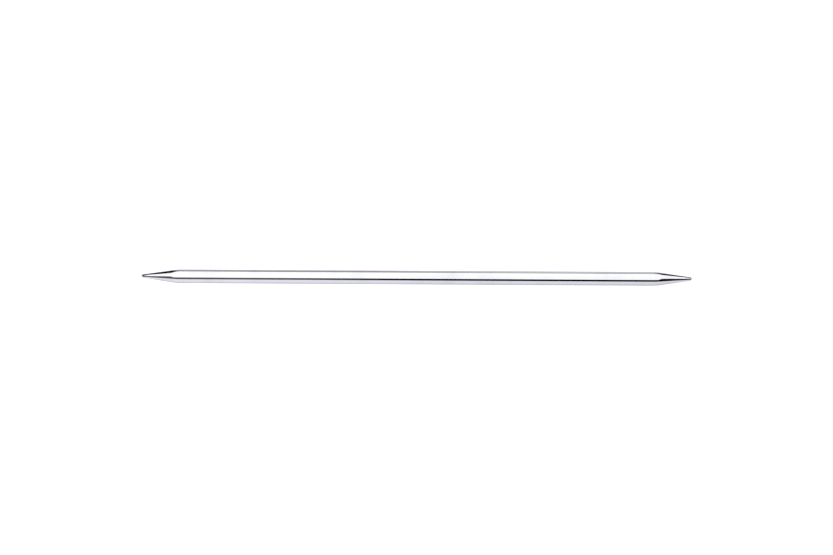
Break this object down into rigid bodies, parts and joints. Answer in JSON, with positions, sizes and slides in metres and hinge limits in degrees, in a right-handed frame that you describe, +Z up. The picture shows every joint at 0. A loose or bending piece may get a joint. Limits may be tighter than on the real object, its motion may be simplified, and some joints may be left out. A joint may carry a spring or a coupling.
{
  "type": "double pointed knitting needle",
  "caption": "Slim straight round metal knitting needle: a hollow bright-plated barrel closed at each end by a tapered point with a rounded tip, for knitting in the round.",
  "frame": {"origin": "on the needle's axis, midway between its two tips", "axes": "+X along the needle towards the right-hand tip, +Z up; the needle is a body of revolution about X, and left and right are alike"},
  "size_m": [0.2, 0.005, 0.005],
  "materials": {
    "barrel_plate": "bright polished chrome plate on drawn brass tube",
    "point_plate": "bright polished chrome plate on turned brass",
    "solder": "dull cast tin solder"
  },
  "bodies": {
    "root": {"barrel_tube": "barrel_plate", "left_point": "point_plate", "right_point": "point_plate", "left_solder_ring": "solder", "right_solder_ring": "solder"}
  },
  "joints": []
}
